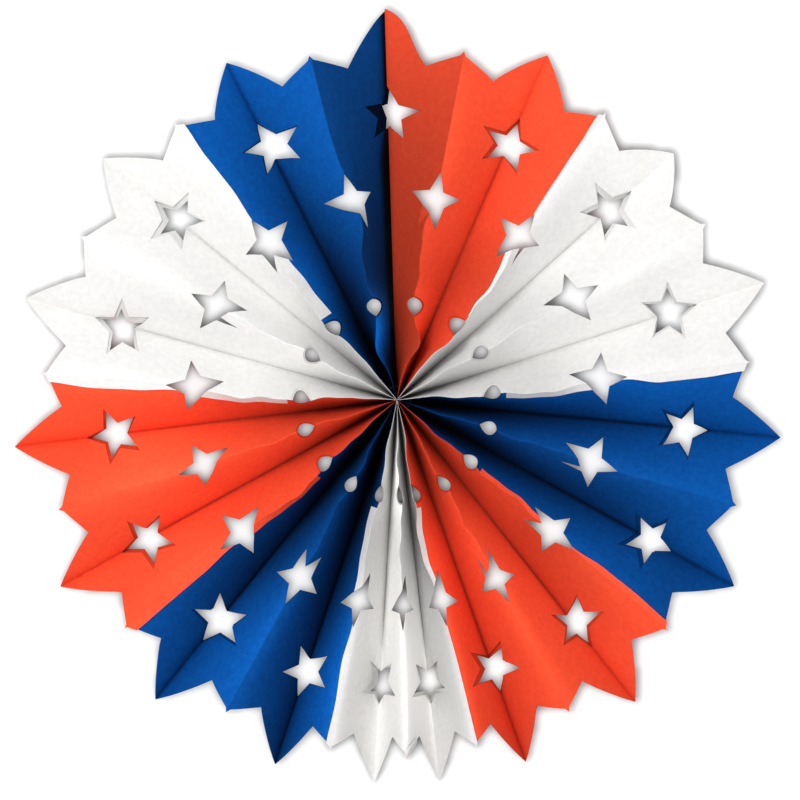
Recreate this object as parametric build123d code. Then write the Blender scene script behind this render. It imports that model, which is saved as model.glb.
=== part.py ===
from build123d import *
import math
import os

# A pleated paper fan opened to a full round. It hangs upright with its face towards -Y.
# Nine folded sheets, in three colours, stand side by side round the centre.
# Sizes are in millimetres and angles in degrees, and angles run clockwise from the top.

# Driving dimensions: the paper
paper_thickness = 0.3
hub_radius = 4.0
long_tip_length = 30.0
short_tip_length = 8.5
notch_share = 0.47
hub_pleat_depth = 21.5
widest_pleat_depth = 8.0
pinched_fold_depth = 4.0
long_tip_bulge = 1.5
end_tip_bulge = 3.0

# Driving dimensions: how far each pleat is open, one long tip to the next
top_seam_angle = -1.8
top_seam_gap = 0.6
pleat_openings = (
    25.4, 24.7, 24.0, 23.3, 23.3, 22.8, 18.7, 13.2, 9.8,
    15.1, 20.4, 22.1, 22.0, 22.3, 24.1, 23.8, 25.0,
)

# Driving dimensions: the die-cut holes, as they read on an evenly opened fan
outer_star_tip = 17.0
outer_star_waist = 7.7
outer_star_leg_reach = 13.8
outer_star_leg_spread = 10.0
inner_star_radius = 120.0
inner_star_tip = 17.0
inner_star_waist = 7.7
inner_star_leg_reach = 16.5
inner_star_leg_spread = 6.2
drop_length = 12.5
drop_half_width = 4.6
drop_side_points = 6

# Driving dimensions: paper left between the rows of holes, and out to the notches
drop_to_star = 41.0
star_to_star = 20.2
star_to_notch = 12.0

# Driving dimensions: the thread that gathers the inner ends
thread_ring_radius = 8.0
thread_diameter = 0.9
needle_hole_clearance = 0.05

# Facets: strips that follow the twist of a leaf from hub to tip, and flats round the thread
leaf_strips = 8
strip_spread = 1.3
thread_flat_count = 6

# Colour sections: name and number of leaves, clockwise from the top seam
sections = (
    ("red_section_top", 3),
    ("white_section_upper_right", 4),
    ("blue_section_right", 4),
    ("red_section_lower_right", 4),
    ("white_section_bottom", 4),
    ("blue_section_lower_left", 4),
    ("red_section_left", 4),
    ("white_section_upper_left", 4),
    ("blue_section_top", 3),
)

# Rows of holes and tips, each placed from the one inside it
drop_round_radius = inner_star_radius - inner_star_leg_reach - drop_to_star
drop_point_radius = drop_round_radius - drop_length
outer_star_radius = inner_star_radius + inner_star_tip + star_to_star + outer_star_leg_reach
notch_radius = outer_star_radius + outer_star_tip + star_to_notch
short_tip_radius = notch_radius + short_tip_length
long_tip_radius = notch_radius + long_tip_length

# The openings share the full round between them
pleat_count = len(pleat_openings)
leaf_count = 2 * pleat_count
openings = [opening * 360 / sum(pleat_openings) for opening in pleat_openings]
even_half_opening = math.radians(360 / leaf_count)


def half_opening(leaf):
    """Angle in radians that one leaf spans, fold to fold, seen from the front."""
    return math.radians(openings[leaf % leaf_count // 2] / 2)


def fold_angle(fold):
    """Angle in radians of a fold: even folds are long tips at the back, odd ones ridges at the front."""
    valley = top_seam_angle + sum(openings[: fold // 2])
    return math.radians(valley) + (fold % 2) * half_opening(fold)


def span(radius, angle):
    """Straight distance across an angle at a radius."""
    return 2 * radius * math.sin(angle / 2)


# The leaf is a trapezoid, just wide enough for the widest pleat
widest_half_opening = math.radians(max(openings) / 2)
hub_leaf_width = math.hypot(span(hub_radius, widest_half_opening), hub_pleat_depth)
tip_leaf_width = math.hypot(span(long_tip_radius, widest_half_opening), widest_pleat_depth)


def leaf_width(radius):
    """Flat width of a leaf, fold to fold."""
    share = (radius - hub_radius) / (long_tip_radius - hub_radius)
    return hub_leaf_width + share * (tip_leaf_width - hub_leaf_width)


def fold_span(fold, radius):
    """Mean distance from a fold to its two neighbours, seen from the front."""
    return span(radius, (half_opening(fold - 1) + half_opening(fold)) / 2)


def fold_point(fold, radius, side):
    """Point on a fold's front (side -1) or back (side 1) edge."""
    width = leaf_width(radius)
    across = fold_span(fold, radius)
    depth = math.sqrt(width**2 - across**2)
    middle = -depth / 2 if fold % 2 else depth / 2
    thickness = min(paper_thickness * width / across, pinched_fold_depth)
    angle = fold_angle(fold)
    return Vector(radius * math.sin(angle), middle + side * thickness / 2, radius * math.cos(angle))


# Radii where the leaf's facets change, closer together near the hub where it twists most
strip_radii = [
    hub_radius + (long_tip_radius - hub_radius) * (step / leaf_strips) ** strip_spread
    for step in range(leaf_strips + 1)
]


def polygon_face(points):
    """Flat face with these corners."""
    return Face(Wire.make_polygon(points, close=True))


def leaf_side(leaf, side):
    """Facets of a leaf's front or back, two triangles to a strip."""
    ridge, valley = (leaf, leaf + 1) if leaf % 2 else (leaf + 1, leaf)
    facets = []
    for inner, outer in zip(strip_radii, strip_radii[1:]):
        ridge_inner = fold_point(ridge, inner, side)
        valley_outer = fold_point(valley, outer, side)
        facets.append(polygon_face([ridge_inner, valley_outer, fold_point(ridge, outer, side)]))
        facets.append(polygon_face([ridge_inner, fold_point(valley, inner, side), valley_outer]))
    return facets


def leaf_end(leaf, radius):
    """Face that closes a leaf's edge at its hub end or its tip end."""
    return polygon_face([
        fold_point(leaf, radius, -1),
        fold_point(leaf + 1, radius, -1),
        fold_point(leaf + 1, radius, 1),
        fold_point(leaf, radius, 1),
    ])


def fold_end(fold):
    """Face in a fold's own radial plane, where a section stops."""
    front = [fold_point(fold, radius, -1) for radius in strip_radii]
    back = [fold_point(fold, radius, 1) for radius in strip_radii]
    return polygon_face(front + back[::-1])


def pleated_sheet(first_fold, leaves):
    """Folded sheet before it is cut, from one fold to another."""
    faces = [fold_end(first_fold), fold_end(first_fold + leaves)]
    for leaf in range(first_fold, first_fold + leaves):
        faces += leaf_side(leaf, -1) + leaf_side(leaf, 1)
        faces += [leaf_end(leaf, hub_radius), leaf_end(leaf, long_tip_radius)]
    return Solid(Shell(faces))


# The die cuts every leaf alike, so its outline is given as radius and share of the leaf's width.
# It reaches past every pleat, because none is deeper than a leaf is wide.
cut_reach = tip_leaf_width


def plan_point(leaf, share, radius):
    """Point seen from the front, at a share of the way from the leaf's first fold to its second."""
    first, second = fold_angle(leaf), fold_angle(leaf + 1)
    x = radius * ((1 - share) * math.sin(first) + share * math.sin(second))
    z = radius * ((1 - share) * math.cos(first) + share * math.cos(second))
    return Vector(x, -cut_reach, z)


def cut_point(fold, along, across):
    """Point of a hole on a fold: its radius, and its distance from the fold on an evenly opened fan."""
    share = across / (along * even_half_opening)
    if share < 0:
        return plan_point(fold - 1, 1 + share, along)
    return plan_point(fold, share, along)


def cut_wire(fold, one_side):
    """Closed outline of a hole that is alike on both sides of its fold."""
    other_side = [(along, -across) for along, across in one_side[1:-1]]
    points = [cut_point(fold, along, across) for along, across in one_side + other_side[::-1]]
    return Wire.make_polygon(points, close=True)


def star_side(centre, tip, waist, leg_reach, leg_spread):
    """Half of a five-pointed star with one tip along the fold: its tip, arm and leg, with waists between."""
    half_turn = math.radians(36)
    return [
        (centre + tip, 0),
        (centre + waist * math.cos(half_turn), waist * math.sin(half_turn)),
        (centre + tip * math.cos(2 * half_turn), tip * math.sin(2 * half_turn)),
        (centre + waist * math.cos(3 * half_turn), waist * math.sin(3 * half_turn)),
        (centre - leg_reach, leg_spread),
        (centre - waist, 0),
    ]


def drop_side():
    """Half of a drop: its width is sin(a) times sin(a / 2), from its point to its round end."""
    fullest = 4 / (3 * math.sqrt(3))
    sides = []
    for step in range(1, drop_side_points):
        turn = math.pi * step / drop_side_points
        along = drop_point_radius + drop_length * (1 - math.cos(turn)) / 2
        sides.append((along, drop_half_width * math.sin(turn) * math.sin(turn / 2) / fullest))
    return [(drop_point_radius, 0)] + sides + [(drop_round_radius, 0)]


def long_tip_edge(leaf, notch, tip):
    """Edge from a notch to a long tip, bowed outwards, and more so on the two end leaves."""
    bulge = end_tip_bulge if leaf in (0, leaf_count - 1) else long_tip_bulge
    middle = (notch + tip) / 2
    along = (tip - notch).normalized()
    from_hub = Vector(middle.X, 0, middle.Z)
    outwards = (from_hub - along * from_hub.dot(along)).normalized()
    return ThreePointArc(notch, middle + outwards * bulge, tip)


def rim_edges(leaf):
    """Edges of one leaf's rim: its half of a long tip, and its half of a short one."""
    ridge, valley, notch_at = (0, 1, notch_share) if leaf % 2 else (1, 0, 1 - notch_share)
    notch = plan_point(leaf, notch_at, notch_radius)
    long_tip = plan_point(leaf, valley, long_tip_radius)
    short_tip = plan_point(leaf, ridge, short_tip_radius)
    return [long_tip_edge(leaf, notch, long_tip), Line(notch, short_tip)]


outer_star = star_side(
    outer_star_radius, outer_star_tip, outer_star_waist, outer_star_leg_reach, outer_star_leg_spread
)
inner_star = star_side(
    inner_star_radius, inner_star_tip, inner_star_waist, inner_star_leg_reach, inner_star_leg_spread
)
rim = Wire([edge for leaf in range(leaf_count) for edge in rim_edges(leaf)])
holes = [cut_wire(fold, outer_star) for fold in range(0, leaf_count, 2)]
for ridge in range(1, leaf_count, 2):
    holes += [cut_wire(ridge, inner_star), cut_wire(ridge, drop_side())]
die_cut = Solid.extrude(Face(rim, holes), Vector(0, 2 * cut_reach, 0))

# The thread runs round the hub through a needle hole in each leaf
needle_hole = thread_diameter + 2 * needle_hole_clearance
needle_path = Rot(X=90) * (
    Cylinder(thread_ring_radius + needle_hole / 2, needle_hole)
    - Cylinder(thread_ring_radius - needle_hole / 2, needle_hole)
)
thread_section = Pos(X=thread_ring_radius) * RegularPolygon(thread_diameter / 2, thread_flat_count)
gathering_thread = revolve(thread_section, Axis.Y)

# The two ends of the fan stand a little apart at the top seam
seam_gap = Rot(Y=top_seam_angle) * Pos(Z=long_tip_radius) * Box(
    top_seam_gap, 2 * cut_reach, 2 * long_tip_radius
)

os.makedirs("parts", exist_ok=True)
first_fold = 0
for name, leaves in sections:
    section = pleated_sheet(first_fold, leaves) & die_cut
    section = section - needle_path
    if first_fold == 0 or first_fold + leaves == leaf_count:
        section = section - seam_gap
    export_step(section, f"parts/{name}.step")
    first_fold += leaves
export_step(gathering_thread, "parts/gathering_thread.step")
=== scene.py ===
"""Dresses a pleated paper fan rosette: nine die-cut paper sections gathered on a thread at the hub."""
import logging
from dataclasses import dataclass, field, replace
from enum import Enum
from typing import Sequence

import bpy
import numpy as np
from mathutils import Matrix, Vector
from mathutils.geometry import delaunay_2d_cdt
from numpy.typing import NDArray


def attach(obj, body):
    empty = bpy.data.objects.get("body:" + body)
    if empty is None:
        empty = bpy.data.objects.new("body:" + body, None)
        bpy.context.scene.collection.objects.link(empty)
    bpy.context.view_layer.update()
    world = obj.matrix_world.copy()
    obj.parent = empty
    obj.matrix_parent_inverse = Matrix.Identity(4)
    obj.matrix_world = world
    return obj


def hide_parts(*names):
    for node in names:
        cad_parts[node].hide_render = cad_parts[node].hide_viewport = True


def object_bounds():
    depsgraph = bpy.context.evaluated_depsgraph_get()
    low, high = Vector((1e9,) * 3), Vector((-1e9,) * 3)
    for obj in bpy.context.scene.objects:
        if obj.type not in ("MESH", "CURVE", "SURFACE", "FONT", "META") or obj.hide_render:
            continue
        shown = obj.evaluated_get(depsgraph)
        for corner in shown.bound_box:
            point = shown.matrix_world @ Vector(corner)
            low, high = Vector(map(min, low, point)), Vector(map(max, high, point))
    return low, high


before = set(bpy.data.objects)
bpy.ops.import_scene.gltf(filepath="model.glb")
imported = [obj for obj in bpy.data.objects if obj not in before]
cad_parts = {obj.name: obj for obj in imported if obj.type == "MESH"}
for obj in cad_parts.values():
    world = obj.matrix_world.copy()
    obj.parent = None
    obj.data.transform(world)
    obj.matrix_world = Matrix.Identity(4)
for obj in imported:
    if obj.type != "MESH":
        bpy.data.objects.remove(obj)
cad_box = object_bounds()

Array = NDArray[np.float64]
IntArray = NDArray[np.int64]

# Lengths in the classes are millimetres, and angles are degrees clockwise from the top.
# A star's corners stand STAR_STEP apart. MID_LEAF is the share of paper that lies on no fold.
MM = 0.001
BODY = "root"
STAR_STEP = 36.0
MID_LEAF = 0.5
LOG = logging.getLogger("paper_fan_rosette")


class PaperColour(Enum):
    """The three papers, by their material slot."""

    RED = "red_paper"
    WHITE = "white_paper"
    BLUE = "blue_paper"


class Leg(Enum):
    """How a star's leg shows on one leaf: its inner edge starts this share of the way to the outer one."""

    OPEN = 0.0
    SLIT = 0.62
    CLOSED = 1.0


class Ply(Enum):
    """Which of a section's two sheets of paper, glued together along the front folds."""

    FRONT = "front"
    BACK = "back"


def smooth_step(low: float, high: float, value: Array) -> Array:
    """Smooth rise from 0 at low to 1 at high: 3t^2 - 2t^3.

    Args:
        low: Value where the rise starts.
        high: Value where it ends.
        value: Where it is read.

    Returns:
        The rise at each value.
    """
    t = np.clip((value - low) / (high - low), 0.0, 1.0)
    return t * t * (3.0 - 2.0 * t)


def eased(place: Array, values: Sequence[float]) -> Array:
    """Smooth curve through evenly spaced values: a smooth step from each to the next.

    Args:
        place: Where it is read, from 0 at the first value to 1 at the last.
        values: The values.

    Returns:
        The curve at each place.
    """
    steps = np.asarray(place) * (len(values) - 1)
    low = np.clip(np.floor(steps).astype(int), 0, len(values) - 2)
    knots = np.asarray(values)
    return knots[low] + (knots[low + 1] - knots[low]) * smooth_step(0.0, 1.0, steps - low)


def fold_pair(leaf: int) -> tuple[int, int]:
    """Ridge and valley of a leaf, which lies between the folds of its own number and the next."""
    return (leaf, leaf + 1) if leaf % 2 else (leaf + 1, leaf)


@dataclass(frozen=True)
class RidgeLean:
    """A front fold pushed sideways, clockwise where positive, most at one radius."""

    fold: int
    shift: float
    radius: float
    spread: float

    def at(self, radius: Array) -> Array:
        """Sideways shift at each radius: a bell, shift * exp(-((r - radius) / spread)^2)."""
        return self.shift * np.exp(-(((radius - self.radius) / self.spread) ** 2))


@dataclass(frozen=True)
class PaintedLeafLight:
    """Painted light and shade for a leaf that lies off the even pleat: a factor on its colour, above 1
    lighter and below 1 darker, most so at one radius.
    """

    leaf: int
    factor: float
    radius: float
    spread: float

    def at(self, radius: Array) -> Array:
        """Factor at each radius: a bell, 1 + (factor - 1) * exp(-((r - radius) / spread)^2)."""
        return 1.0 + (self.factor - 1.0) * np.exp(-(((radius - self.radius) / self.spread) ** 2))


@dataclass(frozen=True)
class FanFolds:
    """The folds of the opened fan. Even folds are valleys with long tips, odd ones ridges in front."""

    hub_radius: float = 4.0
    tip_radius: float = 230.0
    hub_depth: float = 21.5
    widest_depth: float = 8.0
    seam_angle: float = -1.8
    openings: tuple[float, ...] = (
        25.4, 24.7, 24.0, 23.3, 23.3, 22.8, 18.7, 13.2, 9.8,
        15.1, 20.4, 22.1, 22.0, 22.3, 24.1, 23.8, 25.0,
    )
    leans: tuple[RidgeLean, ...] = (
        RidgeLean(1, -3.9, 95.0, 22.0),
        RidgeLean(1, 7.5, 34.0, 13.0),
        RidgeLean(3, 6.5, 80.0, 45.0),
        RidgeLean(7, 4.2, 78.0, 45.0),
        RidgeLean(9, 1.7, 130.0, 40.0),
        RidgeLean(15, 5.5, 85.0, 45.0),
        RidgeLean(23, -4.5, 80.0, 40.0),
        RidgeLean(25, -2.4, 130.0, 40.0),
        RidgeLean(27, -5.0, 80.0, 45.0),
        RidgeLean(31, -5.5, 80.0, 40.0),
        RidgeLean(33, 6.0, 115.0, 25.0),
        RidgeLean(33, -6.0, 30.0, 13.0),
    )
    lean_rise: tuple[float, float] = (5.0, 45.0)
    wobble_seed: int = 100
    wobble_shift: float = 1.0
    wobble_lengths: tuple[tuple[float, float], ...] = ((38.0, 17.0), (60.0, 26.0))
    wobble_weights: tuple[float, float] = (1.0, 0.45)
    wobble_end: tuple[float, float] = (140.0, 80.0)
    round_leaves: tuple[int, ...] = (15, 16, 17, 18)
    round_rise: tuple[float, float] = (115.0, 165.0)
    seam_tuck: float = 1.5
    seam_drop: float = 4.0
    seam_lift: float = 8.0
    seam_edge: float = 0.84
    seam_rise: tuple[float, float] = (20.0, 90.0)
    seam_fall: tuple[float, float] = (230.0, 130.0)
    seam_least: float = 0.25
    # Painted shade on the last leaf beside the top seam: a dark band along the seam and a dimming factor.
    seam_dark: tuple[float, float] = (1.2, 4.5)
    seam_spread: float = 1.3
    seam_narrow: tuple[float, float] = (168.0, 140.0)
    seam_dim: float = 0.6
    # Painted light and shade: factors on the colour of single leaves, one bell each.
    painted_leaf_lights: tuple[PaintedLeafLight, ...] = (
        PaintedLeafLight(0, 0.48, 115.0, 130.0), PaintedLeafLight(1, 1.8, 40.0, 25.0), PaintedLeafLight(2, 0.75, 88.0, 28.0),
        PaintedLeafLight(3, 1.09, 210.0, 55.0), PaintedLeafLight(4, 0.85, 92.0, 25.0), PaintedLeafLight(5, 1.1, 150.0, 100.0),
        PaintedLeafLight(6, 0.8, 85.0, 28.0), PaintedLeafLight(7, 2.0, 62.0, 40.0), PaintedLeafLight(7, 1.25, 145.0, 30.0),
        PaintedLeafLight(9, 0.74, 140.0, 55.0), PaintedLeafLight(10, 0.72, 200.0, 30.0), PaintedLeafLight(11, 0.74, 120.0, 50.0),
        PaintedLeafLight(12, 1.2, 120.0, 60.0), PaintedLeafLight(13, 1.15, 100.0, 60.0), PaintedLeafLight(14, 1.35, 110.0, 80.0),
        PaintedLeafLight(15, 0.75, 110.0, 90.0), PaintedLeafLight(15, 0.65, 80.0, 35.0), PaintedLeafLight(16, 1.4, 160.0, 50.0),
        PaintedLeafLight(17, 2.2, 45.0, 22.0), PaintedLeafLight(17, 1.2, 140.0, 90.0), PaintedLeafLight(18, 0.82, 88.0, 30.0),
        PaintedLeafLight(19, 2.0, 165.0, 50.0), PaintedLeafLight(21, 1.35, 160.0, 45.0), PaintedLeafLight(22, 0.68, 130.0, 50.0),
        PaintedLeafLight(23, 1.18, 155.0, 30.0), PaintedLeafLight(24, 1.25, 110.0, 70.0), PaintedLeafLight(25, 1.4, 150.0, 38.0),
        PaintedLeafLight(26, 1.2, 160.0, 60.0), PaintedLeafLight(28, 1.3, 50.0, 35.0), PaintedLeafLight(31, 1.8, 78.0, 30.0),
        PaintedLeafLight(32, 0.6, 75.0, 38.0), PaintedLeafLight(33, 12.0, 43.0, 16.0),
    )
    tip_start: float = 195.0
    tip_reaches: tuple[tuple[int, float], ...] = (
        (0, 233.0), (2, 224.0), (4, 221.0), (30, 227.0), (32, 225.2),
    )
    ridge_width: float = 0.20
    ridge_softness: float = 0.9
    groove_width: float = 0.06
    groove_strength: float = 1.2
    soft_rise: tuple[float, float] = (60.0, 170.0)
    wave_height: float = 0.7
    wave_lengths: tuple[tuple[float, float], ...] = ((70.0, 30.0), (130.0, 50.0))
    wave_weights: tuple[float, float] = (1.0, 0.35)
    wave_slant: float = 2.0
    wave_rise: tuple[float, float] = (50.0, 160.0)

    @property
    def leaf_count(self) -> int:
        """Leaves in the round, two to a pleat."""
        return 2 * len(self.openings)

    def half_openings(self) -> Array:
        """Angle of each leaf in radians: half of its pleat's share of the full round."""
        return np.repeat(self.openings, 2) * np.pi / sum(self.openings)

    def angles(self) -> Array:
        """Angle of each fold in radians: the running sum of the leaves' angles from the top seam."""
        return np.radians(self.seam_angle) + np.concatenate([[0.0], np.cumsum(self.half_openings())])

    def leaf_width(self, radius: Array) -> Array:
        """Flat width of a leaf at each radius: a trapezoid, just wide enough for the widest pleat.

        Args:
            radius: Distance from the hub.

        Returns:
            Width from fold to fold, linear from hypot(chord, depth) at the hub to that at the tip.
        """
        chord = 2.0 * np.sin(self.half_openings().max() / 2.0)
        hub_width = np.hypot(chord * self.hub_radius, self.hub_depth)
        tip_width = np.hypot(chord * self.tip_radius, self.widest_depth)
        share = (radius - self.hub_radius) / (self.tip_radius - self.hub_radius)
        return hub_width + share * (tip_width - hub_width)

    def fold_span(self, fold: int, radius: Array) -> Array:
        """Mean distance from a fold to its two neighbours, seen from the front: 2 r sin(a / 2)."""
        halves = self.half_openings()
        mean_angle = (halves[fold - 1] + halves[fold % self.leaf_count]) / 2.0
        return 2.0 * radius * np.sin(mean_angle / 2.0)

    def fold_depth(self, fold: int, radius: Array) -> Array:
        """How far a fold lies behind the hub plane.

        Args:
            fold: Number of the fold.
            radius: Distance from the hub.

        Returns:
            Half of the pleat's depth, sqrt(width^2 - span^2) / 2, negative for a ridge.
        """
        depth = np.sqrt(self.leaf_width(radius) ** 2 - self.fold_span(fold, radius) ** 2)
        return (-depth if fold % 2 else depth) / 2.0

    def rise(self, leaf: int, radius: Array, share: Array) -> Array:
        """Cross-section of a leaf: share of the depth gained from ridge (0) to valley (1).

        The slope is 1 - soft * sech^2(s / w), flat at the soft ridge, plus a groove
        g * exp((s - 1) / b) that sharpens the valley. The rise is its integral, scaled to end at 1.
        A round leaf turns towards the rim into (1 - cos(pi s)) / 2, with no sharp valley.

        Args:
            leaf: Number of the leaf.
            radius: Distance from the hub; ridges and grooves show more towards the rim.
            share: Share of the way from ridge to valley.

        Returns:
            The rise at each point.
        """
        outwards = smooth_step(*self.soft_rise, radius)
        soft = self.ridge_softness * outwards * self.ridge_width
        groove = self.groove_strength * outwards * self.groove_width
        foot = np.exp(-1.0 / self.groove_width)
        gained = (
            share - soft * np.tanh(share / self.ridge_width)
            + groove * (np.exp((share - 1.0) / self.groove_width) - foot)
        )
        total = 1.0 - soft * np.tanh(1.0 / self.ridge_width) + groove * (1.0 - foot)
        rise = gained / total
        rounded = smooth_step(*self.round_rise, radius) * (leaf in self.round_leaves)
        return rise + rounded * ((1.0 - np.cos(np.pi * share)) / 2.0 - rise)

    def ridge_shift(self, ridge: int, radius: Array) -> Array:
        """Sideways shift of a front fold: its leans, and two sine waves that fade before the rim.

        Args:
            ridge: Number of the fold, which seeds its own waves.
            radius: Distance from the hub.

        Returns:
            Shift in millimetres, clockwise where positive.
        """
        rng = np.random.default_rng(self.wobble_seed + ridge)
        lengths, phases = rng.uniform(*self.wobble_lengths), rng.uniform(0.0, 2.0 * np.pi, 2)
        waves = np.sin(2.0 * np.pi * radius[:, None] / lengths + phases) @ np.array(self.wobble_weights)
        leans = sum((lean.at(radius) for lean in self.leans if lean.fold == ridge), np.zeros_like(radius))
        shift = leans + self.wobble_shift * waves * smooth_step(*self.wobble_end, radius)
        return shift * smooth_step(*self.lean_rise, radius)

    def wave(self, leaf: int, radius: Array, share: Array) -> Array:
        """Slack of the paper between its folds, as depth.

        Args:
            leaf: Number of the leaf, which seeds its own waves.
            radius: Distance from the hub.
            share: Share of the way from ridge to valley.

        Returns:
            Two sine waves along the leaf, times 4 s (1 - s), so the folds stay straight.
        """
        rng = np.random.default_rng(leaf)
        lengths, phases = rng.uniform(*self.wave_lengths), rng.uniform(0.0, 2.0 * np.pi, 2)
        heights = self.wave_height * np.array(self.wave_weights)
        slack = sum(
            height * np.sin(2.0 * np.pi * radius / length + phase + self.wave_slant * share)
            for height, length, phase in zip(heights, lengths, phases)
        )
        return slack * 4.0 * share * (1.0 - share) * smooth_step(*self.wave_rise, radius)

    def seam_shift(self, leaf: int, radius: Array, share: Array) -> tuple[Array, Array]:
        """How the fan's two end leaves meet at the top seam: the last one tucks behind the first.

        Args:
            leaf: Number of the leaf.
            radius: Distance from the hub.
            share: Share of the way from ridge to valley.

        Returns:
            Clockwise shift and depth, both zero on every other leaf.
        """
        fall = self.seam_least + (1.0 - self.seam_least) * smooth_step(*self.seam_fall, radius)
        rise = smooth_step(*self.seam_rise, radius) * fall
        tucked = np.clip((share - self.seam_edge) / (1.0 - self.seam_edge), 0.0, 1.0) ** 2
        if leaf == self.leaf_count - 1:
            return self.seam_tuck * tucked, self.seam_drop * tucked
        return 0.0 * share, -self.seam_lift * share**2 * rise if leaf == 0 else 0.0 * share

    # The sky view is painted into the paper's colour as shade.
    def sky_view(self, leaf: int, radius: Array, share: Array, ply: Ply = Ply.FRONT) -> Array:
        """Share of the sky that a point of a leaf sees past the leaf that faces it over a fold.

        With the fold between them as origin, the point lies at distance t on its own leaf, and the
        facing leaf's far edge at distance w in the direction of the angle f between the leaves. The
        line from point to edge makes an angle p with the leaf, and the view is (1 - cos p) / 2.

        Args:
            leaf: Number of the leaf.
            radius: Distance from the hub.
            share: Share of the way from ridge to valley.
            ply: Front ply, seen over its valley, or back ply, seen from behind over its ridge.

        Returns:
            The view from 0 to 1, with painted shade on the last leaf beside the top seam.
        """
        ridge, valley = fold_pair(leaf)
        fold, away = (valley, 1.0 - share) if ply is Ply.FRONT else (ridge, share)
        width = self.leaf_width(radius)
        between = 2.0 * np.arcsin(self.fold_span(fold % self.leaf_count, radius) / width)
        out = width * (np.cos(between) - away)
        view = (1.0 - out / np.hypot(out, width * np.sin(between))) / 2.0
        # Painted shade beside the top seam.
        if leaf == self.leaf_count - 1:
            spread = 1.0 + self.seam_spread * smooth_step(*self.seam_narrow, radius)
            from_seam = (1.0 - share) * width / spread
            view = view * self.seam_dim * smooth_step(*self.seam_dark, from_seam)
        return view

    def surface(self, leaf: int, radius: Array, share: Array) -> Array:
        """Points of a leaf in the rosette's frame.

        In plan a point lies on the chord from ridge to valley, r ((1 - s) R + s V), and in depth
        it rises from the ridge's depth to the valley's by the cross-section.

        Args:
            leaf: Number of the leaf.
            radius: Distance from the hub along the folds.
            share: Share of the way from ridge to valley.

        Returns:
            Rows of x, y and z in millimetres.
        """
        ridge, valley = fold_pair(leaf)
        reach = dict(self.tip_reaches).get(valley % self.leaf_count, self.tip_radius)
        stretch = (reach - self.tip_start) / (self.tip_radius - self.tip_start) - 1.0
        along = radius + stretch * share * np.maximum(radius - self.tip_start, 0.0)
        ridge_angle, valley_angle = self.angles()[[ridge, valley]]
        x = along * ((1.0 - share) * np.sin(ridge_angle) + share * np.sin(valley_angle))
        z = along * ((1.0 - share) * np.cos(ridge_angle) + share * np.cos(valley_angle))
        tuck, drop = self.seam_shift(leaf, radius, share)
        lean = self.ridge_shift(ridge, radius) * (1.0 - share) ** 2 + tuck
        ridge_depth = self.fold_depth(ridge, radius)
        rise = self.rise(leaf, radius, share) * (self.fold_depth(valley, radius) - ridge_depth)
        depth = ridge_depth + rise + self.wave(leaf, radius, share) + drop
        return np.stack([x + lean * np.cos(ridge_angle), depth, z - lean * np.sin(ridge_angle)], axis=-1)


@dataclass(frozen=True)
class StarHole:
    """A five-pointed star cut across a fold, with one point outwards along it."""

    centre: float
    tip: float = 17.0
    waist: float = 7.7
    leg_reach: float = 13.8
    leg_spread: float = 10.0
    widening: float = 1.0
    turn: float = 0.0
    point_share: float = 1.0
    leg: Leg = Leg.OPEN

    def side(self) -> Array:
        """Half of the star, from its point to its crotch.

        Corners lie at centre + reach * (cos a, sin a). A star that stands turned adds its turn to
        every angle but the first and the last, which stay on the fold.

        Returns:
            Rows of radius and distance from the fold: point, waist, arm, waist, leg and crotch.
        """
        point, inner_waist, leg, crotch = 0, 3, 4, 5
        corner = np.arange(crotch + 1)
        reach = np.where(corner % 2, self.waist, self.tip)
        angle = np.radians(STAR_STEP) * corner
        reach[point] = self.tip * self.point_share
        reach[leg] = np.hypot(self.leg_reach, self.leg_spread)
        angle[leg] = np.arctan2(self.leg_spread, -self.leg_reach)
        angle[point + 1 : crotch] += np.radians(self.turn)
        side = np.stack([self.centre + reach * np.cos(angle), reach * np.sin(angle)], axis=1)
        side[crotch, 1] = 0.0
        if self.leg is Leg.CLOSED:
            side = np.delete(side, leg, axis=0)
        if self.leg is Leg.SLIT:
            slit = side[crotch] + self.leg.value * (side[inner_waist] - side[crotch])
            side = np.insert(side, crotch, slit, axis=0)
        return side * (1.0, self.widening)


@dataclass(frozen=True)
class DropHole:
    """A drop cut across a ridge, with its point towards the hub."""

    point: float = 50.0
    round_end: float = 62.5
    half_width: float = 4.6
    steps: int = 14

    def side(self) -> Array:
        """Half of the drop as rows of radius and distance from the fold: width is sin(a) sin(a / 2)."""
        turn = np.linspace(0.0, np.pi, self.steps + 1)
        along = self.point + (self.round_end - self.point) * (1.0 - np.cos(turn)) / 2.0
        across = self.half_width * np.sin(turn) * np.sin(turn / 2.0) * 3.0 * np.sqrt(3.0) / 4.0
        across[[0, -1]] = 0.0
        return np.stack([along, across], axis=1)


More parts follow.
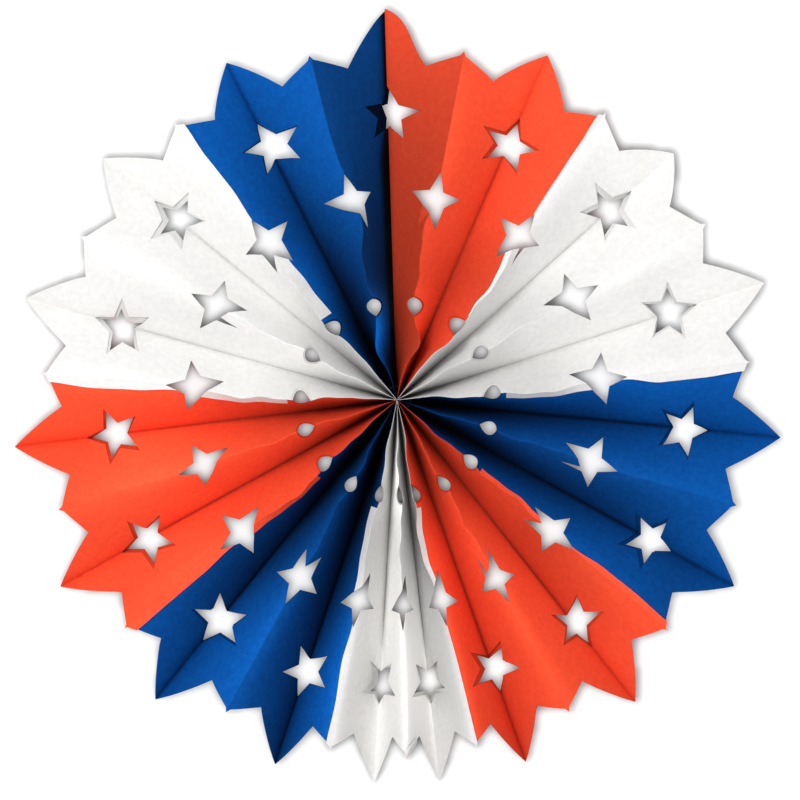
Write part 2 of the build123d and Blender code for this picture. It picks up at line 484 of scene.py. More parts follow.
@dataclass(frozen=True)
class DieCut:
    """The outline that the die gives a leaf: half holes on both folds and a rim of two half tips."""

    inner_star: StarHole = StarHole(120.0, leg_reach=16.5, leg_spread=6.0, widening=0.88)
    outer_star: StarHole = StarHole(171.0)
    drop: DropHole = DropHole()
    hub_radius: float = 0.4
    notch_radius: float = 200.0
    notch_share: float = 0.47
    short_tip_radius: float = 208.5
    long_tip_radius: float = 230.0
    long_tip_bulge: float = 0.8
    bulge_skew: float = 1.0
    horn: float = 1.8
    horn_share: float = 0.04
    leaf_angle: float = 360.0 / 34.0
    rim_steps: int = 12

    def shares(self, side: Array) -> Array:
        """Rows of radius and distance from a fold as radius and share: s = across / (r * angle)."""
        return side / np.stack([np.ones(len(side)), side[:, 0] * np.radians(self.leaf_angle)], axis=1)

    def long_tip_edge(self) -> Array:
        """Rim from the notch to the long tip: a chord bowed outwards by 4 b k (1 - k), with k = t^skew.

        Returns:
            Rows of radius and share.
        """
        ends = np.array([[self.notch_radius, self.notch_share], [self.long_tip_radius, 1.0]])
        flat = ends * [1.0, np.radians(self.leaf_angle)] * np.stack([np.ones(2), ends[:, 0]], axis=1)
        chord = flat[1] - flat[0]
        outwards = np.array([chord[1], -chord[0]]) / np.hypot(*chord)
        t = np.linspace(0.0, 1.0, self.rim_steps + 1)[:, None]
        skewed = t**self.bulge_skew
        bow = 4.0 * self.long_tip_bulge * skewed * (1.0 - skewed)
        return self.shares(flat[0] + t * chord + bow * outwards)

    def corners(self) -> Array:
        """Corners of the leaf's outline, out along the ridge and back along the valley.

        Returns:
            Rows of radius and share.
        """
        ridge_holes = [self.shares(self.drop.side()), self.shares(self.inner_star.side())[::-1]]
        valley_hole = self.shares(self.outer_star.side()) * [1.0, -1.0] + [0.0, 1.0]
        fall = (self.short_tip_radius - self.notch_radius) * self.horn_share / self.notch_share
        short_tip = [
            [self.short_tip_radius + self.horn, 0.0], [self.short_tip_radius - fall, self.horn_share],
        ]
        return np.concatenate([
            [[self.hub_radius, 0.0]], *ridge_holes, short_tip,
            self.long_tip_edge(), valley_hole, [[self.hub_radius, 1.0]],
        ])


@dataclass(frozen=True)
class LeafSheet:
    """One die-cut leaf, flat: its die, radius and share of each point, and the triangles between them."""

    die: DieCut
    radius: Array
    share: Array
    triangles: IntArray

    @classmethod
    def cut(cls, die: DieCut, step: float = 2.4, columns: int = 20) -> "LeafSheet":
        """Fills a leaf's outline with triangles.

        Args:
            die: The outline.
            step: Distance between points along the folds.
            columns: Spaces from ridge to valley, narrower at both folds.

        Returns:
            The triangulated leaf.
        """
        flat_width, evenness, clearance = 40.0, 0.3, 0.25
        inside_only, merge = 1, 1e-6
        corners = die.corners() * [1.0, flat_width]
        outline = cls.divided(corners, step)
        turn = np.linspace(0.0, np.pi, columns + 1)[1:-1]
        shares = (1.0 - evenness) * (1.0 - np.cos(turn)) / 2.0 + evenness * turn / np.pi
        rows = np.arange(die.hub_radius, die.long_tip_radius, step)
        inner = np.stack(np.meshgrid(rows, flat_width * shares, indexing="ij"), axis=-1).reshape(-1, 2)
        inner = inner[cls.clear_inside(inner, outline, clearance * step)]
        loop = np.arange(len(outline)).tolist()
        points = np.concatenate([outline, inner]).tolist()
        found = delaunay_2d_cdt(points, [], [loop], inside_only, merge)
        points = np.array(found[0])
        return cls(die, points[:, 0], points[:, 1] / flat_width, np.array(found[2]))

    @staticmethod
    def divided(corners: Array, step: float) -> Array:
        """Points along a closed outline, with every corner kept.

        Args:
            corners: Corners in order.
            step: Longest distance between neighbours.

        Returns:
            Each edge cut into equal parts no longer than the step.
        """
        edges = np.roll(corners, -1, axis=0) - corners
        parts = np.maximum(np.ceil(np.hypot(edges[:, 0], edges[:, 1]) / step), 1).astype(int)
        edge = np.repeat(np.arange(len(corners)), parts)
        place = np.arange(parts.sum()) - np.repeat(np.cumsum(parts) - parts, parts)
        return corners[edge] + edges[edge] * (place / parts[edge])[:, None]

    @staticmethod
    def clear_inside(points: Array, outline: Array, margin: float) -> NDArray[np.bool_]:
        """Which points lie inside an outline and not too near to it.

        Inside is an odd count of crossings to one side. Nearness is the distance to each edge.

        Args:
            points: Points to test.
            outline: Closed outline.
            margin: Least distance to the outline.

        Returns:
            True for each such point.
        """
        start, edge = outline[None], (np.roll(outline, -1, axis=0) - outline)[None]
        away = points[:, None] - start
        above = away[..., 1] < 0.0
        end_above = away[..., 1] < edge[..., 1]
        level = np.where(above != end_above, edge[..., 1], 1.0)
        crossed = (above != end_above) & (away[..., 0] < edge[..., 0] * away[..., 1] / level)
        along = np.clip((away * edge).sum(-1) / (edge**2).sum(-1), 0.0, 1.0)
        distance = np.linalg.norm(away - along[..., None] * edge, axis=-1).min(axis=1)
        return (crossed.sum(axis=1) % 2 == 1) & (distance > margin)


@dataclass(frozen=True)
class PaperPatch:
    """Paper in space: points in millimetres, triangles, each point's share, and a shade to a side.

    On paper with a thickness each point lies on one side, and its last triangles are the rims.
    """

    points: Array
    triangles: IntArray
    share: Array
    shade: Array
    rims: int = 0

    @staticmethod
    def joined(patches: Sequence["PaperPatch"], weld: float = 1e-4) -> "PaperPatch":
        """All patches as one.

        Args:
            patches: Patches that meet at shared points.
            weld: Points nearer than this become one.

        Returns:
            One patch, without triangles that the welding closes up.
        """
        starts = np.cumsum([0] + [len(patch.points) for patch in patches[:-1]])
        points = np.concatenate([patch.points for patch in patches])
        share = np.concatenate([patch.share for patch in patches])
        shade = np.concatenate([patch.shade for patch in patches])
        triangles = np.concatenate([patch.triangles + start for patch, start in zip(patches, starts)])
        keys = np.round(points / weld).astype(np.int64)
        _, first, place = np.unique(keys, axis=0, return_index=True, return_inverse=True)
        triangles = place.reshape(-1)[triangles]
        whole = (triangles != np.roll(triangles, 1, axis=1)).all(axis=1)
        return PaperPatch(points[first], triangles[whole], share[first], shade[first])

    def thickened(self, thickness: float) -> "PaperPatch":
        """Closed sheet: two sides, each half the thickness off along the normals, with rims between.

        A point's normal is the sum of its triangles' cross products. Two rim triangles stand on each
        edge that only one triangle has. The side that faces front gets the first column of shades.

        Args:
            thickness: Thickness of the paper.

        Returns:
            The sheet, with one shade to a point.
        """
        count, shortest = len(self.points), 1e-9
        corners = self.points[self.triangles]
        facing = np.cross(corners[:, 1] - corners[:, 0], corners[:, 2] - corners[:, 0])
        normals = np.zeros_like(self.points)
        np.add.at(normals, self.triangles, facing[:, None])
        normals *= thickness / 2.0 / np.maximum(np.linalg.norm(normals, axis=1, keepdims=True), shortest)
        edges = np.concatenate([self.triangles[:, ends] for ends in ([0, 1], [1, 2], [2, 0])])
        _, first, uses = np.unique(np.sort(edges, axis=1), axis=0, return_index=True, return_counts=True)
        start, end = edges[first[uses == 1]].T
        rims = np.concatenate([
            np.stack([end, start, start + count], axis=1),
            np.stack([end, start + count, end + count], axis=1),
        ])
        front = normals[:, 1] < 0.0
        sides = [np.where(front, *self.shade.T), np.where(front, *self.shade.T[::-1])]
        return PaperPatch(
            np.concatenate([self.points + normals, self.points - normals]),
            np.concatenate([self.triangles, self.triangles[:, ::-1] + count, rims]),
            np.tile(self.share, 2), np.concatenate(sides)[:, None], len(rims),
        )

    def make_object(self, name: str) -> bpy.types.Object:
        """Mesh object of the patch, smooth but for its rims and valleys.

        Args:
            name: Name of the object.

        Returns:
            The object, linked to the scene.
        """
        at_valley = 1.0 - 1e-6
        mesh = bpy.data.meshes.new(name)
        mesh.from_pydata((self.points * MM).tolist(), [], self.triangles.tolist(), shade_flat=False)
        ends = np.empty(2 * len(mesh.edges), np.int32)
        mesh.edges.foreach_get("vertices", ends)
        loop_edges = np.empty(len(mesh.loops), np.int32)
        mesh.loops.foreach_get("edge_index", loop_edges)
        sharp = (self.share[ends.reshape(-1, 2)] > at_valley).all(axis=1)
        sharp[loop_edges[len(loop_edges) - 3 * self.rims :]] = True
        mesh.attributes.new("sharp_edge", "BOOLEAN", "EDGE").data.foreach_set("value", sharp)
        for attribute, values in (("fold_share", self.share), ("paper_shade", self.shade[:, 0])):
            layer = mesh.attributes.new(attribute, "FLOAT", "POINT")
            layer.data.foreach_set("value", values.astype(np.float32))
        made = bpy.data.objects.new(name, mesh)
        bpy.context.scene.collection.objects.link(made)
        return made


def grid_triangles(rows: int, columns: int) -> IntArray:
    """Triangles of a grid of points, row by row, two to each cell.

    Args:
        rows: Rows of points.
        columns: Points in a row.

    Returns:
        Three point numbers to a triangle.
    """
    corner = (np.arange(rows - 1)[:, None] * columns + np.arange(columns - 1)).reshape(-1, 1)
    return np.concatenate([corner + [0, columns, 1], corner + [1, columns, columns + 1]])


class NodeGroups:
    """Shader node groups that the papers share."""

    @staticmethod
    def new_group(name: str, inputs: dict[str, float], outputs: Sequence[str]) -> bpy.types.NodeTree:
        """Empty group with its value sockets.

        Args:
            name: Name of the group.
            inputs: Names and first values of its inputs.
            outputs: Names of its outputs.

        Returns:
            The group, with a Group Input and a Group Output node.
        """
        group = bpy.data.node_groups.new(name, "ShaderNodeTree")
        for socket, value in inputs.items():
            made = group.interface.new_socket(socket, in_out="INPUT", socket_type="NodeSocketFloat")
            made.default_value = value
        for socket in outputs:
            group.interface.new_socket(socket, in_out="OUTPUT", socket_type="NodeSocketFloat")
        group.nodes.new("NodeGroupInput").name = "in"
        group.nodes.new("NodeGroupOutput").name = "out"
        return group

    @classmethod
    def paper_fibre(cls) -> bpy.types.NodeTree:
        """Mottle and fine fibres of crepe-like paper, on the rosette's own coordinates.

        Returns:
            Group with inputs Fibre Scale and Cloud Scale, and outputs Fibre and Height.
        """
        scales = {"Fibre Scale": 900.0, "Cloud Scale": 320.0}
        group = cls.new_group("paper_fibre", scales, ["Fibre", "Height"])
        nodes, links = group.nodes, group.links
        place = nodes.new("ShaderNodeTexCoord")
        fibre = nodes.new("ShaderNodeTexNoise")
        fibre.inputs["Detail"].default_value = 4.0
        fibre.inputs["Roughness"].default_value = 0.65
        fibre.inputs["Distortion"].default_value = 1.2
        cloud = nodes.new("ShaderNodeTexNoise")
        cloud.inputs["Detail"].default_value = 3.0
        height = nodes.new("ShaderNodeMath")
        height.operation = "MULTIPLY_ADD"
        height.inputs[1].default_value = 0.5
        for noise, scale in zip((fibre, cloud), scales):
            links.new(place.outputs["Object"], noise.inputs["Vector"])
            links.new(nodes["in"].outputs[scale], noise.inputs["Scale"])
        links.new(fibre.outputs["Fac"], height.inputs[0])
        links.new(cloud.outputs["Fac"], height.inputs[2])
        links.new(fibre.outputs["Fac"], nodes["out"].inputs["Fibre"])
        links.new(height.outputs[0], nodes["out"].inputs["Height"])
        return group

    @classmethod
    def ridge_rub_and_highlight(cls) -> bpy.types.NodeTree:
        """A lighter line along each ridge, partly real rubbing of the fold and partly painted highlight,
        read from the share of the leaf.

        Returns:
            Group with inputs Width and Amount, and one output for the line.
        """
        group = cls.new_group("ridge_rub_and_highlight", {"Width": 0.03, "Amount": 0.5}, ["Wear"])
        nodes, links = group.nodes, group.links
        share = nodes.new("ShaderNodeAttribute")
        share.attribute_name = "fold_share"
        line = nodes.new("ShaderNodeMapRange")
        line.interpolation_type = "SMOOTHSTEP"
        line.inputs["From Min"].default_value = 0.0
        line.inputs["To Max"].default_value = 0.0
        links.new(share.outputs["Fac"], line.inputs["Value"])
        links.new(nodes["in"].outputs["Width"], line.inputs["From Max"])
        links.new(nodes["in"].outputs["Amount"], line.inputs["To Min"])
        links.new(line.outputs["Result"], nodes["out"].inputs["Wear"])
        return group


@dataclass(frozen=True)
class PaperFinish:
    """Dyed or bleached crepe-like paper: its colours in linear light, how strongly the fibres show, and the
    painted shade and light that its folds get.
    """

    slot: str
    lit: tuple[float, float, float]
    deep: tuple[float, float, float]
    # Colour and strength of the lighter ridge line: partly rubbing, partly painted highlight.
    rubbed_and_lit: tuple[float, float, float]
    wear: float
    fibre_contrast: float
    # Painted shade in the folds: powers on the sky view towards the rim and at the hub.
    shade: float
    hub_shade: float
    # Painted shade on paper between the plies, seen through the holes; darkest on the last leaf.
    inside: float
    # Painted shade: a dark line along each valley, its strength, its fade towards the rim, its width and
    # where it fades.
    crease_shade: float
    crease_shade_fade: float
    crease_shade_width: float = 1.1
    hub_fade: tuple[float, float] = (100.0, 35.0)
    crease_shade_end: tuple[float, float] = (150.0, 190.0)
    last_inside_shade: float = 0.1
    fibre_range: tuple[float, float] = (0.58, 0.92)
    roughness: float = 0.82
    specular: float = 0.06
    bump: float = 0.4
    bump_height: float = 0.3

    def shades(self, folds: FanFolds, ply: Ply, leaf: int, radius: Array, share: Array) -> Array:
        """Painted shade of a leaf's two sides, a factor on its colour: dark where it sees little sky, at
        its valley and between the plies, and each leaf's painted light and shade.

        Args:
            folds: The rosette's folds.
            ply: Which ply.
            leaf: Number of the leaf.
            radius: Distance from the hub.
            share: Share of the way from ridge to valley.

        Returns:
            Rows of front and back shade, each from 0 (black) to 1.
        """
        last = leaf == folds.leaf_count - 1
        power = self.shade + (self.hub_shade - self.shade) * smooth_step(*self.hub_fade, radius)
        opened = folds.sky_view(leaf, radius, share, ply) ** power
        # Painted shade on the sides that face the other ply.
        closed = np.full(len(radius), self.inside * (self.last_inside_shade if last else 1.0))
        if ply is Ply.BACK:
            return np.stack([closed, opened], axis=1)
        # Painted light and shade, leaf by leaf.
        for glow in folds.painted_leaf_lights:
            opened = opened * glow.at(radius) if glow.leaf == leaf else opened
        # Painted shade: a dark line along the valley, fading towards the rim.
        from_valley = (1.0 - share) * folds.fold_span(fold_pair(leaf)[1], radius)
        line = self.crease_shade * (1.0 - self.crease_shade_fade * smooth_step(*self.crease_shade_end, radius))
        opened = opened * (1.0 - line * np.exp(-((from_valley / self.crease_shade_width) ** 2)))
        return np.stack([opened, closed], axis=1)

    def material(self, fibre: bpy.types.NodeTree, fold: bpy.types.NodeTree) -> bpy.types.Material:
        """Paper material: fibres blend its deep and lit colours, ridges get a lighter line that is partly
        rubbing and partly painted highlight, and the paper_shade attribute paints shade and light into the
        colour.

        Args:
            fibre: Shared group of the paper's fibres.
            fold: Shared group of the ridge line, partly rubbing and partly painted highlight.

        Returns:
            The material.
        """
        made = bpy.data.materials.new(self.slot)
        made.use_nodes = True
        nodes, links = made.node_tree.nodes, made.node_tree.links
        shader = nodes["Principled BSDF"]
        shader.inputs["Roughness"].default_value = self.roughness
        shader.inputs["Specular IOR Level"].default_value = self.specular
        grain = nodes.new("ShaderNodeGroup")
        grain.node_tree = fibre
        # Lighter line along each ridge: partly rubbing, partly painted highlight.
        ridge_line = nodes.new("ShaderNodeGroup")
        ridge_line.node_tree = fold
        ridge_line.inputs["Amount"].default_value = self.wear
        # paper_shade paints shade and light into the base colour.
        shaded = nodes.new("ShaderNodeAttribute")
        shaded.attribute_name = "paper_shade"
        dark = nodes.new("ShaderNodeVectorMath")
        dark.operation = "SCALE"
        spread = nodes.new("ShaderNodeMapRange")
        spread.inputs["From Min"].default_value = self.fibre_range[0]
        spread.inputs["From Max"].default_value = self.fibre_range[1]
        spread.inputs["To Min"].default_value = 1.0 - self.fibre_contrast
        tint = nodes.new("ShaderNodeMix")
        tint.data_type = "RGBA"
        tint.inputs["A"].default_value = (*self.deep, 1.0)
        tint.inputs["B"].default_value = (*self.lit, 1.0)
        rubbed_and_lit = nodes.new("ShaderNodeMix")
        rubbed_and_lit.data_type = "RGBA"
        rubbed_and_lit.inputs["B"].default_value = (*self.rubbed_and_lit, 1.0)
        bump = nodes.new("ShaderNodeBump")
        bump.inputs["Strength"].default_value = self.bump
        bump.inputs["Distance"].default_value = self.bump_height * MM
        links.new(grain.outputs["Height"], spread.inputs["Value"])
        links.new(spread.outputs["Result"], tint.inputs["Factor"])
        links.new(tint.outputs["Result"], rubbed_and_lit.inputs["A"])
        links.new(ridge_line.outputs["Wear"], rubbed_and_lit.inputs["Factor"])
        links.new(rubbed_and_lit.outputs["Result"], dark.inputs[0])
        links.new(shaded.outputs["Fac"], dark.inputs["Scale"])
        links.new(dark.outputs[0], shader.inputs["Base Color"])
        links.new(grain.outputs["Height"], bump.inputs["Height"])
        links.new(bump.outputs["Normal"], shader.inputs["Normal"])
        return made


@dataclass(frozen=True)
class ThreadFinish:
    """Dark cotton thread."""

    slot: str = "thread"
    colour: tuple[float, float, float] = (0.035, 0.035, 0.04)
    shade: tuple[float, float, float] = (0.012, 0.012, 0.015)
    fibre_scale: float = 2500.0
    roughness: float = 0.9

    def material(self, fibre: bpy.types.NodeTree) -> bpy.types.Material:
        """Cotton material: fine fibres between a shaded and a bright colour.

        Args:
            fibre: Shared group of fibres.

        Returns:
            The material.
        """
        made = bpy.data.materials.new(self.slot)
        made.use_nodes = True
        nodes, links = made.node_tree.nodes, made.node_tree.links
        shader = nodes["Principled BSDF"]
        shader.inputs["Roughness"].default_value = self.roughness
        grain = nodes.new("ShaderNodeGroup")
        grain.node_tree = fibre
        grain.inputs["Fibre Scale"].default_value = self.fibre_scale
        tint = nodes.new("ShaderNodeMix")
        tint.data_type = "RGBA"
        tint.inputs["A"].default_value = (*self.shade, 1.0)
        tint.inputs["B"].default_value = (*self.colour, 1.0)
        links.new(grain.outputs["Fibre"], tint.inputs["Factor"])
        links.new(tint.outputs["Result"], shader.inputs["Base Color"])
        return made


@dataclass(frozen=True)
class SeamFlap:
    """Edge of a covering sheet, glued over the ridge at a seam onto the next section's leaf."""

    leaf: int
    inner_widths: tuple[float, ...]
    outer_widths: tuple[float, ...]
    inner_end: float = 65.0
    rim_radius: float = 208.5
    lift: float = 0.25
    curl: float = 0.9
    curl_wave: float = 0.4
    curl_turns: float = 9.0
    # Painted light: a factor on the flap's colour, below 1 darker and above 1 lighter than its paper.
    glow: float = 0.96
    rows: int = 60
    columns: int = 7

    def patches(self, folds: FanFolds, die: DieCut) -> list[PaperPatch]:
        """The flap's two lengths, inside and outside the star on its ridge.

        Each is a grid. Across runs from the ridge to the flap's width there, and radius runs
        between two lines that follow the corner, the star's edges and the rim.

        Args:
            folds: The rosette's folds.
            die: The outline of the leaf underneath.

        Returns:
            One patch to each length.
        """
        star = die.inner_star.side()
        notch_across = die.notch_share * die.notch_radius * np.radians(die.leaf_angle)
        crotch_to_leg, tip_to_waist = star[[-1, -2]], star[[0, 1]]
        rim = np.array([[self.rim_radius, 0.0], [die.notch_radius, notch_across]])
        corner = np.array([[self.inner_end, 0.0], [self.inner_end, notch_across]])
        return [
            self.length(folds, die, self.inner_widths, corner, crotch_to_leg),
            self.length(folds, die, self.outer_widths, tip_to_waist, rim),
        ]

    def length(
        self, folds: FanFolds, die: DieCut, widths: Sequence[float], start: Array, end: Array
    ) -> PaperPatch:
        """One length of the flap, lifted a little more towards its free edge.

        Args:
            folds: The rosette's folds.
            die: The outline of the leaf underneath.
            widths: The flap's width, evenly spaced from start to end.
            start: Line where it starts, as two rows of radius and distance from the ridge.
            end: Line where it ends.

        Returns:
            The patch, lying on the leaf's front.
        """
        column = np.linspace(0.0, 1.0, self.columns)
        along = np.linspace(0.0, 1.0, self.rows)[:, None]
        first = np.interp(column * widths[0], start[:, 1], start[:, 0])
        last = np.interp(column * widths[-1], end[:, 1], end[:, 0])
        radius = first + along * (last - first)
        share = column * eased(along, widths) / (radius * np.radians(die.leaf_angle))
        points = folds.surface(self.leaf, radius.reshape(-1), share.reshape(-1))
        wave = 1.0 - self.curl_wave + self.curl_wave * np.sin(self.curl_turns * along)
        points[:, 1] -= (self.lift + self.curl * column**2 * wave).reshape(-1)
        triangles = grid_triangles(self.rows, self.columns)
        if self.leaf % 2:
            triangles = triangles[:, ::-1]
        # Painted light on both sides of the flap.
        shade = np.full((len(points), 2), self.glow)
        return PaperPatch(points, triangles, np.full(len(points), MID_LEAF), shade)


@dataclass(frozen=True)
class RolledEdge:
    """A stretch of a leaf's rim that has rolled up towards the front, from a short tip to its notch."""

    leaf: int
    roll_radius: float = 2.7
    taper: float = 0.5
    turn: float = 265.0
    reach: float = 0.8
    rows: int = 24
    columns: int = 16

    def patch(self, folds: FanFolds, die: DieCut) -> PaperPatch:
        """The roll: at each place on the rim an arc, p + R (sin a outwards + (1 - cos a) forwards).

        Args:
            folds: The rosette's folds.
            die: The outline of the leaf.

        Returns:
            The roll as one patch.
        """
        along, column = np.meshgrid(
            np.linspace(0.0, self.reach, self.rows), np.linspace(0.0, 1.0, self.columns), indexing="ij",
        )
        radius = die.short_tip_radius + along * (die.notch_radius - die.short_tip_radius)
        rim = folds.surface(self.leaf, radius.reshape(-1), (along * die.notch_share).reshape(-1))
        outwards = rim * (1.0, 0.0, 1.0) / np.linalg.norm(rim[:, [0, 2]], axis=1, keepdims=True)
        arc = np.radians(self.turn) * column.reshape(-1, 1)
        size = self.roll_radius * (1.0 - self.taper * along.reshape(-1, 1))
        points = rim + size * (np.sin(arc) * outwards + (1.0 - np.cos(arc)) * np.array([0.0, -1.0, 0.0]))
        triangles, shade = grid_triangles(self.rows, self.columns), np.ones((len(points), 2))
        return PaperPatch(points, triangles, np.full(len(points), MID_LEAF), shade)


@dataclass
class PaperSection:
    """One colour section of the fan: two pleated plies, with flaps where it covers its neighbours.

    Slips are for each valley's star, outwards and clockwise, of the front ply and then of the back one.
    """

    node: str
    colour: PaperColour
    first_fold: int
    leaves: int
    flaps: tuple[SeamFlap, ...] = ()
    rolls: tuple[RolledEdge, ...] = ()
    covered: tuple[int, ...] = ()
    cover_depth: float = 0.7
    cover_width: float = 0.12
    thickness: float = 0.14
    ply_gap: float = 0.25
    steepest_gap: float = 2.0
    valley_gap: float = 1.8
    gap_rise: tuple[float, float] = (60.0, 130.0)
    slips: tuple[tuple[float, float, float, float], ...] = (
        (0.0, 0.0, 0.0, 0.0), (-4.4, 0.3, -5.2, 1.6), (-0.5, 0.3, -2.3, 0.7), (0.0, 0.0, -0.4, 0.0),
        (1.0, 0.8, 1.7, 1.7), (0.3, 1.0, 2.2, 0.4), (0.5, -1.5, -0.2, -2.3), (-1.0, 0.0, 0.0, -2.0),
        (0.0, 0.0, -2.0, 0.0), (-0.5, -0.5, -1.0, -4.5), (0.0, -1.3, 0.0, -1.3), (-1.2, -0.8, -2.5, -0.8),
        (0.3, -1.6, -1.1, -1.2), (-1.0, -0.8, -1.8, 0.4), (-1.0, -2.5, -1.3, -4.2), (-0.5, -1.0, -2.3, 0.6),
        (-2.0, 2.0, -2.4, 2.6),
    )
    slip_share: tuple[float, float] = (0.08, 0.5)
    slip_start: tuple[float, float] = (138.0, 156.0)
    slip_end: tuple[float, float] = (204.0, 189.0)
    slip_fold: float = 7.0

    def ply_gap_depth(self, folds: FanFolds, leaf: int, radius: Array, share: Array) -> Array:
        """How far the back ply lies behind the front one.

        It is the gap over the leaf's slope, gap * width / span at each fold, plus a hollow
        towards the valley.

        Args:
            folds: The rosette's folds.
            leaf: Number of the leaf.
            radius: Distance from the hub.
            share: Share of the way from ridge to valley.

        Returns:
            Depth in millimetres.
        """
        width = folds.leaf_width(radius)
        gaps = [
            np.minimum(self.ply_gap * width / folds.fold_span(fold, radius), self.steepest_gap)
            for fold in fold_pair(leaf)
        ]
        depth = (1.0 - share) * gaps[0] + share * gaps[1]
        return depth + self.valley_gap * share**2 * smooth_step(*self.gap_rise, radius)

    def slipped(self, folds: FanFolds, ply: Ply, leaf: int, sheet: LeafSheet) -> tuple[Array, Array]:
        """A leaf's points where its ply has slipped at the valley's star, outwards and clockwise.

        The slip runs along the paper, so the plies stay apart. It fades round the star and at the fold.

        Args:
            folds: The rosette's folds.
            ply: Which ply.
            leaf: Number of the leaf.
            sheet: The cut leaf.

        Returns:
            Radius and share of each point.
        """
        valley = fold_pair(leaf)[1]
        slip = self.slips[valley % folds.leaf_count // 2]
        outwards, clockwise = slip[:2] if ply is Ply.FRONT else slip[2:]
        span = folds.fold_span(valley % folds.leaf_count, sheet.radius)
        near = smooth_step(*self.slip_start, sheet.radius) * smooth_step(*self.slip_end, sheet.radius)
        near = near * smooth_step(*self.slip_share, sheet.share)
        off_fold = smooth_step(0.0, self.slip_fold, (1.0 - sheet.share) * span)
        towards_fold = clockwise if leaf % 2 else -clockwise
        return sheet.radius + outwards * near, sheet.share + towards_fold * near * off_fold / span

    def ply_patch(
        self, folds: FanFolds, ply: Ply, finish: PaperFinish, sheets: dict[tuple[Ply, int], LeafSheet]
    ) -> PaperPatch:
        """One pleated ply, leaf by leaf.

        Args:
            folds: The rosette's folds.
            ply: Which ply.
            finish: Its paper.
            sheets: Cut leaves by ply and leaf number.

        Returns:
            The ply as one patch.
        """
        patches = []
        for leaf in range(self.first_fold, self.first_fold + self.leaves):
            sheet = sheets[ply, leaf]
            radius, share = self.slipped(folds, ply, leaf, sheet)
            points = folds.surface(leaf, radius, share)
            if ply is Ply.BACK:
                points[:, 1] += self.ply_gap_depth(folds, leaf, radius, share)
            if leaf in self.covered:
                points[:, 1] += self.cover_depth * np.exp(-share / self.cover_width)
            triangles = sheet.triangles[:, ::-1] if leaf % 2 else sheet.triangles
            shade = finish.shades(folds, ply, leaf, radius, share)
            patches.append(PaperPatch(points, triangles, share, shade))
        return PaperPatch.joined(patches)

    def build(
        self, folds: FanFolds, sheets: dict[tuple[Ply, int], LeafSheet], finish: PaperFinish,
        material: bpy.types.Material,
    ) -> bpy.types.Object:
        """Builds the section and dresses it.

        Args:
            folds: The rosette's folds.
            sheets: Cut leaves by ply and leaf number.
            finish: Its paper.
            material: The paper's material.

        Returns:
            The section's object.
        """
        patches = [self.ply_patch(folds, ply, finish, sheets) for ply in Ply]
        for flap in self.flaps:
            patches += flap.patches(folds, sheets[Ply.FRONT, flap.leaf].die)
        patches += [roll.patch(folds, sheets[Ply.FRONT, roll.leaf].die) for roll in self.rolls]
        piece = PaperPatch.joined(patches).thickened(self.thickness).make_object(f"{self.node}_paper")
        piece.data.materials.append(material)
        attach(piece, BODY)
        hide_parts(self.node)
        return piece


@dataclass
class GatheringThread:
    """Two-strand thread drawn through every leaf round the hub."""

    node: str = "gathering_thread"
    ring_radius: float = 8.0
    diameter: float = 0.9
    twists: int = 22
    steps: int = 480
    sides: int = 8

    def strand(self, phase: float) -> PaperPatch:
        """One strand: a tube on a closed coil round the ring.

        The coil's centre is at ring radius + e cos(n a + p) and depth e sin(n a + p), and the
        tube's section is a circle in the ring's radial plane.

        Args:
            phase: Start of the strand's twist, in radians.

        Returns:
            The tube, closed on itself.
        """
        strand_radius = self.diameter / 4.0
        turn, side = np.meshgrid(
            np.linspace(0.0, 2.0 * np.pi, self.steps + 1),
            np.linspace(0.0, 2.0 * np.pi, self.sides + 1), indexing="ij",
        )
        twist = self.twists * turn + phase
        reach = self.ring_radius + strand_radius * (np.cos(twist) + np.cos(side))
        depth = strand_radius * (np.sin(twist) + np.sin(side))
        points = np.stack([reach * np.sin(turn), depth, reach * np.cos(turn)], axis=-1).reshape(-1, 3)
        share, shade = np.full(len(points), MID_LEAF), np.ones((len(points), 1))
        return PaperPatch(points, grid_triangles(*turn.shape), share, shade)

    def build(self, material: bpy.types.Material) -> bpy.types.Object:
        """Builds the thread and dresses it.

        Args:
            material: Its cotton.

        Returns:
            The thread's object.
        """
        strands = [self.strand(phase) for phase in (0.0, np.pi)]
        piece = PaperPatch.joined(strands).make_object("gathering_thread_strands")
        piece.data.materials.append(material)
        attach(piece, BODY)
        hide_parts(self.node)
        return piece


